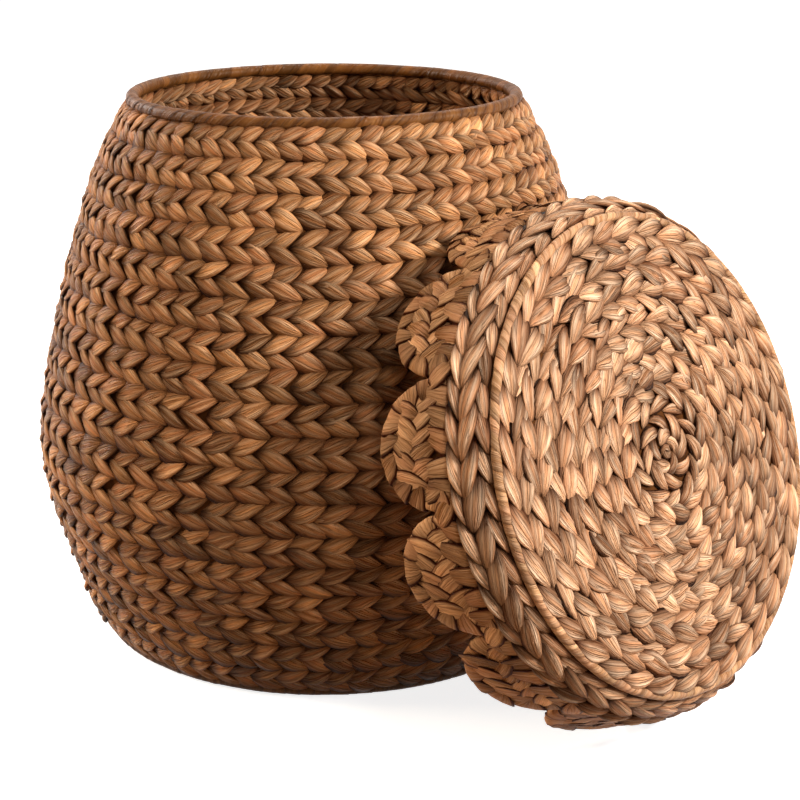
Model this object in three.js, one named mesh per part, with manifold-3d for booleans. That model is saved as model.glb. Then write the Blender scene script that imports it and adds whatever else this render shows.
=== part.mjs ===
import * as THREE from 'three';
import { mergeVertices } from 'three/addons/utils/BufferGeometryUtils.js';
import Module from 'manifold-3d';

const wasm = await Module();
wasm.setup();

// A pot-shaped basket of twined water hyacinth on a welded wire frame, with its
// scalloped lid taken off and leaning on the wall. Millimetres, +Z up, and the
// origin in the middle of the underside. Azimuth 0 is the front, along -Y.

// Outside of the pot, from the floor to the mouth
const BASE_RADIUS = 190;
const FOOT_HEIGHT = 44;
const FOOT_RADIUS = 208;
const BELLY_HEIGHT = 165;
const BELLY_RADIUS = 234;
const SHOULDER_HEIGHT = 342;
const SHOULDER_RADIUS = 193;
const MOUTH_HEIGHT = 430;
const MOUTH_RADIUS = 153;

// Weave and wire
const STAKES = 32;
const WALL_SPANS = 9;
const COURSES_PER_SPAN = 2;
const STRAND_THICKNESS = 4.4;
const STAKE_RADIUS = 1.3;
const STAKE_SIDES = 4;
const HOOP_SIDES = 5;
const FIT_GAP = 0.35;

// Wrapped hoops of the pot
const RIM_HOOP_RADIUS = 2.5;
const RIM_WRAP_RADIUS = 4.5;
const BASE_HOOP_RADIUS = 2;
const BASE_WRAP_RADIUS = 5;
const BASE_SPOKES = 8;
const BASE_HUB_RADIUS = 24;

// Lid: a nearly flat top, a flaring band and a ring of scallops
const LID_CORNER_RADIUS = 168;
const LID_CROWN = 4;
const LID_BAND_DROP = 24;
const LID_BAND_FLARE = 15;
const LID_STAKES = 16;
const LID_TOP_SPANS = 5;
const LID_CENTRE_RADIUS = 40;
const LID_HUB_RADIUS = 14;
const LID_HOOP_RADIUS = 2.5;
const LID_WRAP_RADIUS = 4.5;
const SCALLOPS = 13;
const SCALLOP_DEPTH = 58;
const SCALLOP_FLARE_DEG = 5.8;
const SCALLOP_EDGE_RADIUS = 2.5;
const SCALLOP_EDGE_SIDES = 5;
const SCALLOP_THICKNESS = 5;
const SCALLOP_ARC_STEPS = 8;
const SCALLOP_TURN_DEG = 3.6;

// How the lid leans
const LEAN_AZIMUTH_DEG = 48.5;
const LEAN_RISE_DEG = 19.5;
const LEAN_CLEARANCE = 0.5;
const FLOOR_CLEARANCE = 0.1;

const strandOffset = STAKE_RADIUS + FIT_GAP + STRAND_THICKNESS / 2;
const weaveHalf = strandOffset + STRAND_THICKNESS / 2;
const floorMiddle = STRAND_THICKNESS + FIT_GAP + STAKE_RADIUS;

const hyacinth = new THREE.MeshStandardMaterial({ color: 0xb5814f, roughness: 0.7, metalness: 0 });
const hyacinthDark = new THREE.MeshStandardMaterial({ color: 0x8f6038, roughness: 0.75, metalness: 0 });
const leafWrap = new THREE.MeshStandardMaterial({ color: 0x9a6636, roughness: 0.5, metalness: 0 });
const lidLeaf = new THREE.MeshStandardMaterial({ color: 0xc8965f, roughness: 0.7, metalness: 0 });
const wire = new THREE.MeshStandardMaterial({ color: 0x3a332c, roughness: 0.5, metalness: 0.8 });

// Radius and height as a vector
const flat = (radius, height) => new THREE.Vector2(radius, height);

// A point at an azimuth, radius and height
function around(azimuth, radius, height) {
  return new THREE.Vector3(radius * Math.sin(azimuth), -radius * Math.cos(azimuth), height);
}

// A path of straight stretches whose steps fall on its own corners
class CornerPath extends THREE.Curve {
  constructor(corners) {
    super();
    this.corners = corners;
  }

  getPoint(t, target = new THREE.Vector3()) {
    const place = t * (this.corners.length - 1);
    const start = Math.min(Math.floor(place), this.corners.length - 2);
    return target.lerpVectors(this.corners[start], this.corners[start + 1], place - start);
  }

  getPointAt(u, target) {
    return this.getPoint(u, target);
  }

  getTangentAt(u, target = new THREE.Vector3()) {
    const last = this.corners.length - 1;
    const here = Math.round(u * last);
    const before = this.corners[Math.max(here - 1, 0)];
    const after = this.corners[Math.min(here + 1, last)];
    const into = new THREE.Vector3().subVectors(this.corners[here], before).normalize();
    const out = new THREE.Vector3().subVectors(after, this.corners[here]).normalize();
    return target.addVectors(into, out).normalize();
  }
}

// A round rod along a path of corners
function rod(corners, radius, sides) {
  const section = [];
  for (let i = 0; i < sides; i += 1) {
    const angle = (2 * Math.PI * i) / sides;
    section.push(flat(radius * Math.cos(angle), radius * Math.sin(angle)));
  }
  return new THREE.ExtrudeGeometry(new THREE.Shape(section), {
    steps: corners.length - 1,
    bevelEnabled: false,
    extrudePath: new CornerPath(corners),
  });
}

// A closed section carried round the axis, standing up along Z
function turned(section, segments) {
  const ring = new THREE.LatheGeometry([...section, section[0]], segments);
  ring.rotateX(Math.PI / 2);
  return ring;
}

// Points on part of a circle round a centre, in radius and height
function arc(centre, radius, from, to, steps) {
  const points = [];
  for (let i = 0; i <= steps; i += 1) {
    const angle = from + ((to - from) * i) / steps;
    points.push(flat(centre.x + radius * Math.cos(angle), centre.y + radius * Math.sin(angle)));
  }
  return points;
}

// A bare wire hoop
function hoop(centre, radius, segments) {
  const lastCorner = (2 * Math.PI * (HOOP_SIDES - 1)) / HOOP_SIDES;
  return turned(arc(centre, radius, 0, lastCorner, HOOP_SIDES - 1), segments);
}

// A leaf wrap round a hoop, from one heading at which wires leave it to the next
function openWrap(centre, hoopRadius, outerRadius, leaves, nextLeaves, steps, segments) {
  const slit = Math.asin((STAKE_RADIUS + FIT_GAP) / (hoopRadius + FIT_GAP));
  const from = leaves + slit;
  const to = nextLeaves - slit;
  const chordSlack = Math.cos((to - from) / steps / 2);
  const outside = arc(centre, outerRadius, from, to, steps);
  const inside = arc(centre, (hoopRadius + FIT_GAP) / chordSlack, to, from, steps);
  return turned([...outside, ...inside], segments);
}

// The side of a path that faces out, with its length set for a corner's two stretches
function facing(path, index) {
  const here = path[index];
  const into = index > 0 ? here.clone().sub(path[index - 1]).normalize() : null;
  const out = index < path.length - 1 ? path[index + 1].clone().sub(here).normalize() : null;
  const first = into ?? out;
  const second = out ?? into;
  const along = first.clone().add(second).normalize();
  return flat(along.y, -along.x).divideScalar(along.dot(first));
}

// Where one course ends and the next begins, with its facing there
function seam(path, place) {
  const index = Math.min(Math.floor(place), path.length - 1);
  const share = place - index;
  if (share === 0) return { point: path[index].clone(), facing: facing(path, index) };
  const along = path[index + 1].clone().sub(path[index]).normalize();
  return { point: path[index].clone().lerp(path[index + 1], share), facing: flat(along.y, -along.x) };
}

// A woven course: a flat strand that passes in front of one stake and behind the next
function course(lower, upper, lowerTrim, upperTrim, over, stakes, stepsPerStake) {
  const along = upper.point.clone().sub(lower.point).normalize();
  const low = lower.point.clone().addScaledVector(along, lowerTrim);
  const high = upper.point.clone().addScaledVector(along, -upperTrim);
  const corners = [
    { point: low, facing: lower.facing, half: -1 },
    { point: low, facing: lower.facing, half: 1 },
    { point: high, facing: upper.facing, half: 1 },
    { point: high, facing: upper.facing, half: -1 },
  ];
  const place = (corner, sway) => corner.point.clone()
    .addScaledVector(corner.facing, (corner.half * STRAND_THICKNESS) / 2 + sway * strandOffset);
  const segments = stakes * stepsPerStake;
  const ring = turned(corners.map((corner) => place(corner, 0)), segments);
  const at = ring.getAttribute('position');
  const rows = corners.length + 1;
  for (let v = 0; v < at.count; v += 1) {
    const step = Math.floor(v / rows);
    const sway = over * Math.cos((Math.PI * step) / stepsPerStake);
    const spot = place(corners[(v % rows) % corners.length], sway);
    const point = around((2 * Math.PI * step) / segments, spot.x, spot.y);
    at.setXYZ(v, point.x, point.y, point.z);
  }
  return ring;
}

// Courses that fill the stretches of a path, each swaying against the one before
function courses(path, perSpan, firstTrim, lastTrim, stakes, stepsPerStake) {
  const count = (path.length - 1) * perSpan;
  const rings = [];
  for (let i = 0; i < count; i += 1) {
    const lowerTrim = i === 0 ? firstTrim : FIT_GAP / 2;
    const upperTrim = i === count - 1 ? lastTrim : FIT_GAP / 2;
    const over = i % 2 === 0 ? 1 : -1;
    const lower = seam(path, i / perSpan);
    const upper = seam(path, (i + 1) / perSpan);
    rings.push(course(lower, upper, lowerTrim, upperTrim, over, stakes, stepsPerStake));
  }
  return rings;
}

// A closed mesh as a solid that can be joined or cut
function solidOf(geometry) {
  const bare = geometry.clone();
  bare.deleteAttribute('normal');
  bare.deleteAttribute('uv');
  const merged = mergeVertices(bare, 1e-3);
  return new wasm.Manifold(new wasm.Mesh({
    numProp: 3,
    vertProperties: new Float32Array(merged.getAttribute('position').array),
    triVerts: new Uint32Array(merged.getIndex().array),
  }));
}

// Wires welded into one frame
function welded(geometries) {
  const solid = geometries.map(solidOf).reduce((whole, next) => whole.add(next));
  const mesh = solid.getMesh();
  const geometry = new THREE.BufferGeometry();
  geometry.setAttribute('position', new THREE.BufferAttribute(mesh.vertProperties, 3));
  geometry.setIndex(new THREE.BufferAttribute(mesh.triVerts, 1));
  geometry.computeVertexNormals();
  return geometry;
}

function piece(parent, name, geometry, material) {
  const mesh = new THREE.Mesh(geometry, material);
  mesh.name = name;
  parent.add(mesh);
}

const twoDigits = (number) => String(number).padStart(2, '0');
const radians = THREE.MathUtils.degToRad;

// The line of the stakes from the base hoop up to the rim hoop
function wallPath() {
  const heights = [
    flat(BASE_RADIUS - weaveHalf, floorMiddle),
    flat(FOOT_RADIUS - weaveHalf, FOOT_HEIGHT),
    flat(BELLY_RADIUS - weaveHalf, BELLY_HEIGHT),
    flat(SHOULDER_RADIUS - weaveHalf, SHOULDER_HEIGHT),
    flat(MOUTH_RADIUS - RIM_WRAP_RADIUS, MOUTH_HEIGHT - RIM_WRAP_RADIUS),
  ];
  return new THREE.SplineCurve(heights).getSpacedPoints(WALL_SPANS);
}

// Direction from one point of a path to another, as an angle above outwards
function heading(from, to) {
  return Math.atan2(to.y - from.y, to.x - from.x);
}

function wallFrame(path) {
  const foot = path[0];
  const rim = path[path.length - 1];
  const wires = [
    hoop(foot, BASE_HOOP_RADIUS, STAKES),
    hoop(rim, RIM_HOOP_RADIUS, STAKES),
    hoop(flat(BASE_HUB_RADIUS, foot.y), STAKE_RADIUS, 2 * BASE_SPOKES),
  ];
  for (let i = 0; i < STAKES; i += 1) {
    const azimuth = (2 * Math.PI * i) / STAKES;
    const corners = path.map((point) => around(azimuth, point.x, point.y));
    wires.push(rod(corners, STAKE_RADIUS, STAKE_SIDES));
  }
  for (let i = 0; i < BASE_SPOKES; i += 1) {
    const azimuth = (2 * Math.PI * i) / BASE_SPOKES;
    const ends = [around(azimuth, BASE_HUB_RADIUS, foot.y), around(azimuth, foot.x, foot.y)];
    wires.push(rod(ends, STAKE_RADIUS, STAKE_SIDES));
  }
  return welded(wires);
}

// One of the two woven layers of the base, under or over its spokes
function floorLayer(radius, bottom) {
  const top = bottom + STRAND_THICKNESS;
  const section = [flat(0, bottom), flat(radius, bottom), flat(radius, top), flat(0, top)];
  const layer = new THREE.LatheGeometry(section, STAKES);
  layer.rotateX(Math.PI / 2);
  return layer;
}

function basket(path) {
  const group = new THREE.Group();
  const foot = path[0];
  const rim = path[path.length - 1];
  const floorRadius = foot.x - BASE_WRAP_RADIUS - FIT_GAP;
  piece(group, 'wall_frame', wallFrame(path), wire);
  piece(group, 'base_floor_under', floorLayer(floorRadius, 0), hyacinthDark);
  piece(group, 'base_floor_top', floorLayer(floorRadius, floorMiddle + STAKE_RADIUS + FIT_GAP), hyacinthDark);

  const inwards = Math.PI;
  const fullTurn = 2 * Math.PI;
  const up = heading(foot, path[1]) + fullTurn;
  piece(group, 'base_hoop_wrap',
    openWrap(foot, BASE_HOOP_RADIUS, BASE_WRAP_RADIUS, inwards, up, 4, STAKES), leafWrap);

  const down = heading(rim, path[path.length - 2]);
  piece(group, 'rim_wrap',
    openWrap(rim, RIM_HOOP_RADIUS, RIM_WRAP_RADIUS, down, down + fullTurn, 5, STAKES), leafWrap);

  const firstTrim = BASE_WRAP_RADIUS + FIT_GAP;
  const lastTrim = RIM_WRAP_RADIUS + FIT_GAP;
  courses(path, COURSES_PER_SPAN, firstTrim, lastTrim, STAKES, 1).forEach((ring, i) => {
    piece(group, `wall_course_${twoDigits(i + 1)}`, ring, i % 2 === 0 ? hyacinthDark : hyacinth);
  });
  return group;
}

// The line of the lid's stakes: up the band from the lower hoop, then in over the top
function lidPath() {
  const topHeight = (radius) => LID_CROWN * (1 - (radius / LID_CORNER_RADIUS) ** 2);
  const path = [flat(LID_CORNER_RADIUS + LID_BAND_FLARE, -LID_BAND_DROP)];
  for (let i = 0; i <= LID_TOP_SPANS; i += 1) {
    const radius = THREE.MathUtils.lerp(LID_CORNER_RADIUS, LID_CENTRE_RADIUS, i / LID_TOP_SPANS);
    path.push(flat(radius, topHeight(radius)));
  }
  path.push(flat(LID_HUB_RADIUS, topHeight(LID_HUB_RADIUS)));
  return path;
}

function lidFrame(path) {
  const segments = 2 * LID_STAKES;
  const wires = [
    hoop(path[0], LID_HOOP_RADIUS, segments),
    hoop(path[1], LID_HOOP_RADIUS, segments),
    hoop(path[path.length - 1], STAKE_RADIUS, LID_STAKES),
  ];
  for (let i = 0; i < LID_STAKES; i += 1) {
    const azimuth = (2 * Math.PI * i) / LID_STAKES;
    const corners = path.map((point) => around(azimuth, point.x, point.y));
    wires.push(rod(corners, STAKE_RADIUS, STAKE_SIDES));
  }
  return welded(wires);
}

// The middle of the lid, over (side 1) or under (side -1) its hub
function lidCentre(path, side) {
  const hub = path[path.length - 1];
  const edge = path[path.length - 2];
  const slope = (hub.y - edge.y) / (edge.x - hub.x);
  const radius = edge.x - FIT_GAP;
  const near = side * (STAKE_RADIUS + FIT_GAP);
  const far = near + side * STRAND_THICKNESS;
  const level = (r, off) => flat(r, edge.y + slope * (edge.x - r) + off);
  const [low, high] = side > 0 ? [near, far] : [far, near];
  const section = [level(0, low), level(radius, low), level(radius, high), level(0, high)];
  const disc = new THREE.LatheGeometry(section, 2 * LID_STAKES);
  disc.rotateX(Math.PI / 2);
  return disc;
}

// A place on the skirt, from a scallop's middle: sideways, down the skirt and outwards
function onSkirt(path, azimuth, sideways, down, outwards) {
  const flare = radians(SCALLOP_FLARE_DEG);
  const radius = path[0].x + down * Math.sin(flare) + outwards * Math.cos(flare);
  const height = path[0].y - down * Math.cos(flare) + outwards * Math.sin(flare);
  return around(azimuth + sideways / path[0].x, radius, height);
}

// Half the width of a scallop's wire loop, between its neighbours
function loopRadius(path) {
  const pitch = (2 * Math.PI * path[0].x) / SCALLOPS;
  return pitch / 2 - SCALLOP_EDGE_RADIUS - FIT_GAP / 2;
}

// The wrapped loop of one scallop: down a side, round the end and up again
function scallopEdge(path, azimuth) {
  const radius = loopRadius(path);
  const shoulder = SCALLOP_DEPTH - SCALLOP_EDGE_RADIUS - radius;
  const start = LID_HOOP_RADIUS + FIT_GAP;
  const corners = [onSkirt(path, azimuth, -radius, start, 0)];
  for (let i = 0; i <= SCALLOP_ARC_STEPS; i += 1) {
    const angle = (Math.PI * i) / SCALLOP_ARC_STEPS;
    const down = shoulder + radius * Math.sin(angle);
    corners.push(onSkirt(path, azimuth, -radius * Math.cos(angle), down, 0));
  }
  corners.push(onSkirt(path, azimuth, radius, start, 0));
  return rod(corners, SCALLOP_EDGE_RADIUS, SCALLOP_EDGE_SIDES);
}

// The woven panel inside the loop: a plate with a round end, bent round the skirt
function scallopPanel(path, azimuth) {
  const shoulder = SCALLOP_DEPTH - SCALLOP_EDGE_RADIUS - loopRadius(path);
  const radius = loopRadius(path) - SCALLOP_EDGE_RADIUS - FIT_GAP;
  const start = LID_HOOP_RADIUS + FIT_GAP;
  const plate = new THREE.BoxGeometry(1, 1, SCALLOP_THICKNESS, SCALLOP_ARC_STEPS, 1, 1);
  const at = plate.getAttribute('position');
  for (let v = 0; v < at.count; v += 1) {
    const angle = Math.PI * (at.getX(v) + 0.5);
    const end = shoulder + radius * Math.sin(angle);
    const down = at.getY(v) > 0 ? start : end;
    const point = onSkirt(path, azimuth, -radius * Math.cos(angle), down, at.getZ(v));
    at.setXYZ(v, point.x, point.y, point.z);
  }
  return plate;
}

function lid(path) {
  const group = new THREE.Group();
  const segments = 2 * LID_STAKES;
  const corner = path[1];
  piece(group, 'lid_frame', lidFrame(path), wire);
  piece(group, 'lid_centre_top', lidCentre(path, 1), lidLeaf);
  piece(group, 'lid_centre_under', lidCentre(path, -1), lidLeaf);

  const toBand = heading(corner, path[0]);
  const toTop = heading(corner, path[2]);
  piece(group, 'lid_corner_wrap',
    openWrap(corner, LID_HOOP_RADIUS, LID_WRAP_RADIUS, toBand, toTop, 3, segments), leafWrap);

  const hoopTrim = LID_HOOP_RADIUS + FIT_GAP;
  const wrapTrim = LID_WRAP_RADIUS + FIT_GAP;
  const band = courses(path.slice(0, 2), 1, hoopTrim, wrapTrim, LID_STAKES, 2);
  piece(group, 'lid_band_course', band[0], lidLeaf);
  courses(path.slice(1, -1), 1, wrapTrim, FIT_GAP / 2, LID_STAKES, 2).forEach((ring, i) => {
    piece(group, `lid_top_course_${i + 1}`, ring, i % 2 === 0 ? lidLeaf : hyacinth);
  });

  for (let i = 0; i < SCALLOPS; i += 1) {
    const azimuth = (2 * Math.PI * i) / SCALLOPS + radians(SCALLOP_TURN_DEG);
    piece(group, `scallop_edge_${twoDigits(i + 1)}`, scallopEdge(path, azimuth), leafWrap);
    piece(group, `scallop_panel_${twoDigits(i + 1)}`, scallopPanel(path, azimuth), lidLeaf);
  }
  return group;
}

// Radius of the outside of the wall at a height, straight between its corners
function wallOutside(path, height) {
  const outside = path.map((point, i) => point.clone().addScaledVector(facing(path, i), weaveHalf));
  if (height <= outside[0].y) return outside[0].x;
  const above = outside.findIndex((point) => point.y > height);
  if (above < 0) return 0;
  const [low, high] = [outside[above - 1], outside[above]];
  return THREE.MathUtils.mapLinear(height, low.y, high.y, low.x, high.x);
}

// Stands a tilted lid on the floor and slides it in until it meets the wall
function leaning(lidGroup, path) {
  const azimuth = radians(LEAN_AZIMUTH_DEG);
  const tilted = new THREE.Group();
  tilted.rotation.x = Math.PI / 2 - radians(LEAN_RISE_DEG);
  tilted.add(lidGroup);
  const placed = new THREE.Group();
  placed.rotation.z = azimuth;
  placed.add(tilted);
  placed.updateMatrixWorld(true);

  const points = [];
  lidGroup.children.forEach((mesh) => {
    const at = mesh.geometry.getAttribute('position');
    for (let v = 0; v < at.count; v += 1) {
      points.push(new THREE.Vector3().fromBufferAttribute(at, v).applyMatrix4(mesh.matrixWorld));
    }
  });
  const lift = FLOOR_CLEARANCE - Math.min(...points.map((point) => point.z));
  const away = around(azimuth, 1, 0);
  const slide = Math.max(...points.map((point) => {
    const reach = wallOutside(path, point.z + lift) + LEAN_CLEARANCE;
    const ahead = point.dot(away);
    const aside = Math.hypot(point.x, point.y) ** 2 - ahead ** 2;
    return aside < reach ** 2 ? Math.sqrt(reach ** 2 - aside) - ahead : -Infinity;
  }));
  placed.position.copy(around(azimuth, slide, lift));
  return placed;
}

const potPath = wallPath();
const object = new THREE.Group();
object.add(basket(potPath));
object.add(leaning(lid(lidPath()), potPath));

export default object;
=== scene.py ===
# Looks of a lidded basket of twined water hyacinth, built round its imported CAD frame.
# Lengths are millimetres until a mesh is made, then metres. Azimuth 0 is the front (-Y).
import math

import bpy
import numpy as np
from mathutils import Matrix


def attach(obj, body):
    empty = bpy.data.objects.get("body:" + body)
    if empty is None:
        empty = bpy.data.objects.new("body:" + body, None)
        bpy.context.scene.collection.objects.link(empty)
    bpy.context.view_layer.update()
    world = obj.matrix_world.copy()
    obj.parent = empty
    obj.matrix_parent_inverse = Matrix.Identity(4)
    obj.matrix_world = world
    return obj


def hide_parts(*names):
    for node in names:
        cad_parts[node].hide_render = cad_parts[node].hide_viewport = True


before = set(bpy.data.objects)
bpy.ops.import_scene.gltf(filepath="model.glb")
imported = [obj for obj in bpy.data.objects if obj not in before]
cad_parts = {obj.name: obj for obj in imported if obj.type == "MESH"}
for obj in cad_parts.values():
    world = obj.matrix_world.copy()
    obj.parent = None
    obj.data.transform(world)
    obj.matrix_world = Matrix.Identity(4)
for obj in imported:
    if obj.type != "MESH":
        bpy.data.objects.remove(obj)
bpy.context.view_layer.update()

# Where the random draws of each kind of piece start, so that every run is alike
seeds = {
    "wall": 100, "wallDrift": 3, "rim": 7, "foot": 8, "floor": 30,
    "lidTop": 200, "lidMiddle": 210, "lidBand": 220, "piping": 9, "scallop": 300,
}


# The random draws of one piece of a kind
def draws(kind, number=0):
    return np.random.default_rng(seeds[kind] + number)


# A point at an azimuth, radius and height: (r sin a, -r cos a, h)
def around(azimuth, radius, height):
    return np.stack(np.broadcast_arrays(
        radius * np.sin(azimuth), -radius * np.cos(azimuth), height), -1)


# A dense line through points, with its length so far and its side that faces out.
# Between points a and b, with p before and d after:
# x(t) = (2a + (b-p)t + (2p-5a+4b-d)t^2 + (3a-p-3b+d)t^3) / 2
def smoothLine(points, steps):
    points = np.array(points, float)
    padded = np.concatenate([points[:1], points, points[-1:]])
    t = np.linspace(0, 1, steps, endpoint=False)[:, None]
    pieces = []
    for i in range(len(points) - 1):
        p, a, b, d = padded[i:i + 4]
        pieces.append((2 * a + (b - p) * t + (2 * p - 5 * a + 4 * b - d) * t ** 2
                       + (3 * a - p - 3 * b + d) * t ** 3) / 2)
    line = np.concatenate(pieces + [points[-1:]])
    return measured(line)


# The same for a ready line of radius and height: the side is (dz, -dr) per unit length
def measured(line):
    step = np.gradient(line, axis=0)
    step /= np.linalg.norm(step, axis=1, keepdims=True)
    gone = np.concatenate([[0], np.cumsum(np.linalg.norm(np.diff(line, axis=0), axis=1))])
    return {"gone": gone, "r": line[:, 0], "z": line[:, 1], "nr": step[:, 1], "nz": -step[:, 0]}


# A place near a turned line: its point at a distance gone, moved out along its side
def onLine(line, azimuth, gone, out):
    pick = lambda key: np.interp(gone, line["gone"], line[key])
    radius = pick("r") + out * pick("nr")
    height = pick("z") + out * pick("nz")
    return around(azimuth, radius, height)


# Sections of a leaf as corners (x, y), counter-clockwise: a stitch with one crisp flank at
# x = 1, and a flat ribbon. The columns of faces after the crisp corners are flat shaded
stitchSection = np.array([(1.0, -0.1), (0.96, 0.45), (0.66, 0.97), (0.16, 0.74), (-0.28, 0.92),
                          (-0.98, 0.05), (-0.45, -0.7), (0.6, -0.8)])
stitchCrisp = (0, 7)
ribbonSection = np.array([(1.0, -0.1), (0.9, 0.65), (0.35, 1.0), (-0.35, 1.0), (-0.9, 0.65),
                          (-1.0, -0.1), (-0.6, -1.0), (0.6, -1.0)])
ribbonCrisp = (0, 4, 5, 7)


# A section turned over, still counter-clockwise from its first corner: (x, y) to (-x, y)
def mirrored(section):
    return np.roll((section * np.array([-1, 1]))[::-1], 1, axis=0)


# Closed leaves along paths. Corner (x, y) of station k of leaf n is
# centre + wide x side + thick y face, and the two ends close in points
def sweep(centre, side, face, wide, thick, section):
    across = (wide[:, 1:-1, None] * section[:, 0])[..., None] * side[:, 1:-1, None, :]
    above = (thick[:, 1:-1, None] * section[:, 1])[..., None] * face[:, 1:-1, None, :]
    ring = centre[:, 1:-1, None, :] + across + above
    ring = ring.reshape(len(centre), -1, 3)
    return np.concatenate([centre[:, :1], ring, centre[:, -1:]], axis=1)


# Sides of leaves from their faces: side = face x direction, then face = direction x side
def framed(centre, face):
    ahead = np.gradient(centre, axis=1)
    ahead /= np.linalg.norm(ahead, axis=-1, keepdims=True)
    side = np.cross(np.broadcast_to(face, centre.shape), ahead)
    side /= np.linalg.norm(side, axis=-1, keepdims=True)
    return side, np.cross(ahead, side)


# A side and a face turned together about the leaf: s' = s cos r + f sin r, f' = f cos r - s sin r
def rolled(side, face, roll):
    return np.cos(roll) * side + np.sin(roll) * face, np.cos(roll) * face - np.sin(roll) * side


# Faces and UVs of many swept leaves: U runs along the leaf and V round it, the other
# way round (way -1) for a mirrored section
def leafPart(points, stations, corners, mood, crisp, way=1):
    count, each = points.shape[:2]
    gaps = len(stations) - 3
    smooth = np.ones((gaps, corners), bool)
    smooth[:, list(crisp)] = False
    corner = np.arange(corners)
    following = (corner + 1) % corners
    first = 1 + np.arange(gaps)[:, None] * corners
    here, beside = first + corner, first + following
    quads = np.stack([here, beside, beside + corners, here + corners], -1).reshape(-1, 4)
    start = 0 if way > 0 else 1
    left, middle, right = (start + way * (corner + step) / corners for step in (0, 0.5, 1))
    low, high = np.array(stations)[1:-2, None], np.array(stations)[2:-1, None]
    both = lambda *values: np.stack(np.broadcast_arrays(*values), -1)
    quadUv = np.stack([both(low, left), both(low, right), both(high, right), both(high, left)], -2)
    last = 1 + gaps * corners
    tris = np.concatenate([both(0, 1 + following, 1 + corner),
                           both(each - 1, last + corner, last + following)])
    triUv = np.concatenate([
        np.stack([both(0, middle), both(stations[1], right), both(stations[1], left)], 1),
        np.stack([both(1, middle), both(stations[-2], left), both(stations[-2], right)], 1)])
    shift = (np.arange(count) * each)[:, None, None]
    return {
        "at": points.reshape(-1, 3),
        "quads": (quads[None] + shift).reshape(-1, 4),
        "tris": (tris[None] + shift).reshape(-1, 3),
        "quadUv": np.tile(quadUv.reshape(-1, 4, 2), (count, 1, 1)),
        "triUv": np.tile(triUv, (count, 1, 1)),
        "mood": np.repeat(mood, each, axis=0),
        "smooth": np.tile(smooth.ravel(), count),
    }


# The same for swept ribbons
def ribbonPart(points, stations, mood):
    return leafPart(points, stations, len(ribbonSection), mood, ribbonCrisp)


# The heart of a weave: a closed turned band, half to each side of a line, from its
# first step to its last. Its near-black colour is painted shade, seen through the gaps between stitches
def heartPart(line, steps, half, segments, place):
    azimuth = np.arange(segments) * 2 * math.pi / segments
    gone = np.concatenate([steps, steps[::-1]])
    out = np.repeat([half, -half], len(steps))
    at = place(onLine(line, azimuth[:, None], gone[None, :], out[None, :]))
    n = len(gone)
    i = np.arange(segments)[:, None]
    j = np.arange(n)[None, :]
    ahead, above = (i + 1) % segments, (j + 1) % n
    quads = np.stack([i * n + j, ahead * n + j, ahead * n + above, i * n + above], -1).reshape(-1, 4)
    return {
        "at": at.reshape(-1, 3), "quads": quads, "tris": np.zeros((0, 3), int),
        "quadUv": np.full((len(quads), 4, 2), 0.5), "triUv": np.zeros((0, 3, 2)),
        "mood": np.full((segments * n, 3), 0.5),
        "smooth": np.ones(len(quads), bool),
    }


# One object from parts, riding a body and standing for CAD nodes
def piece(name, parts, material, body, nodes):
    offset, quads, tris = 0, [], []
    for part in parts:
        quads.append(part["quads"] + offset)
        tris.append(part["tris"] + offset)
        offset += len(part["at"])
    at = np.concatenate([part["at"] for part in parts]) / 1000
    quads, tris = np.concatenate(quads), np.concatenate(tris)
    uv = np.concatenate([part["quadUv"].reshape(-1, 2) for part in parts]
                        + [part["triUv"].reshape(-1, 2) for part in parts])
    loops = np.concatenate([quads.ravel(), tris.ravel()])
    totals = np.concatenate([np.full(len(quads), 4), np.full(len(tris), 3)])
    mesh = bpy.data.meshes.new(name)
    mesh.vertices.add(len(at))
    mesh.vertices.foreach_set("co", at.astype(np.float32).ravel())
    mesh.loops.add(len(loops))
    mesh.loops.foreach_set("vertex_index", loops.astype(np.int32))
    mesh.polygons.add(len(totals))
    mesh.polygons.foreach_set("loop_start", (np.cumsum(totals) - totals).astype(np.int32))
    mesh.polygons.foreach_set("loop_total", totals.astype(np.int32))
    mesh.uv_layers.new(name="leaf").data.foreach_set("uv", uv.astype(np.float32).ravel())
    mood = mesh.attributes.new("mood", "FLOAT_VECTOR", "POINT")
    mood.data.foreach_set("vector", np.concatenate(
        [part["mood"] for part in parts]).astype(np.float32).ravel())
    smooth = np.concatenate([part["smooth"] for part in parts] + [np.ones(len(tris), bool)])
    mesh.polygons.foreach_set("use_smooth", smooth)
    mesh.update(calc_edges=True)
    mesh.materials.append(material)
    obj = bpy.data.objects.new(name, mesh)
    bpy.context.scene.collection.objects.link(obj)
    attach(obj, body)
    if nodes:
        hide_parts(*nodes)


# Fullness of a stitch along its length: sin(pi u^skew)^power, 0 at both tips
def fullness(u, skew, power):
    return np.sin(np.pi * np.clip(u, 0, 1) ** skew) ** power


stitchStations = np.array([0, 0.06, 0.17, 0.31, 0.46, 0.61, 0.75, 0.87, 0.955, 1])

# How far single stitches differ: length, reach, width and thickness as shares, level and
# shift in mm, roll as a share and tilt in radians
stitchSpread = {
    "length": 0.08, "reach": 0.12, "width": 0.13, "thickness": 0.16,
    "level": 0.5, "shift": 0.6, "roll": 0.6, "tilt": 0.14,
}


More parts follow.
